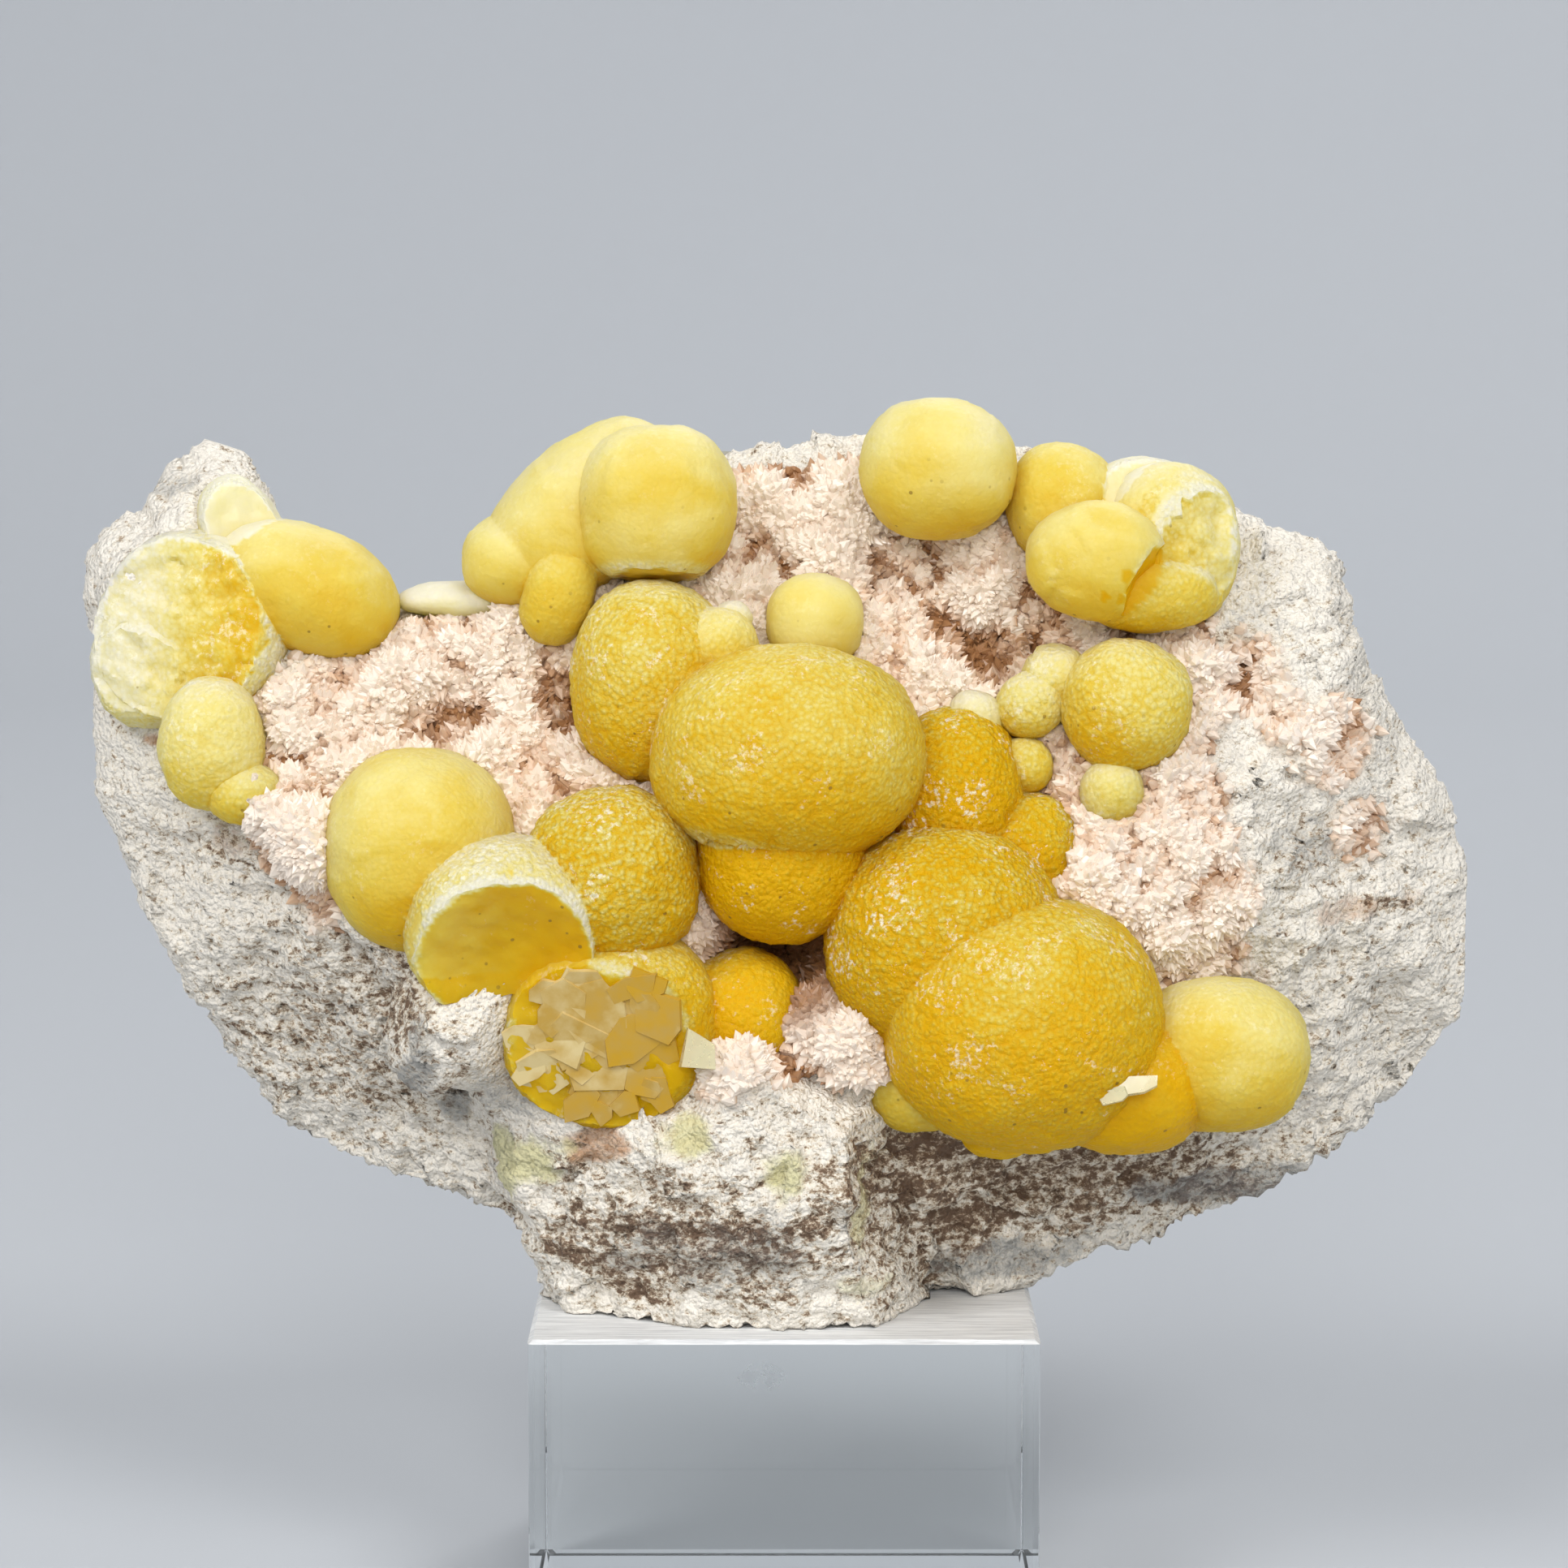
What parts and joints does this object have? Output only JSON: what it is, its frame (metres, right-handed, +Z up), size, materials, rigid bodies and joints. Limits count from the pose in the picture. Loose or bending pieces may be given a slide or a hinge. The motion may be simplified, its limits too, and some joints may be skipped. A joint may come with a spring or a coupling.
{
  "type": "fluorite specimen",
  "caption": "Hand specimen of yellow ball-shaped fluorite on a quartz-coated rock, balanced on a clear square block.",
  "frame": {"origin": "centre of the block's bottom face", "axes": "+Z up; +X to the viewer's right along the specimen's long side; +Y away from the viewer, so the fluorite faces -Y"},
  "size_m": [0.1416, 0.0588, 0.1221],
  "materials": {
    "clear_acrylic": "clear polished sides, sawn and frosted top",
    "quartz_rock": "white to brown-stained broken quartz with small glassy points, smooth grey-green back",
    "fluorite": "translucent yellow, frosted skin, glassy where broken"
  },
  "bodies": {
    "root": {"acrylic_block": "clear_acrylic", "matrix": "quartz_rock", "fluorite_left": "fluorite", "fluorite_main": "fluorite", "fluorite_upper_right": "fluorite"}
  },
  "joints": []
}
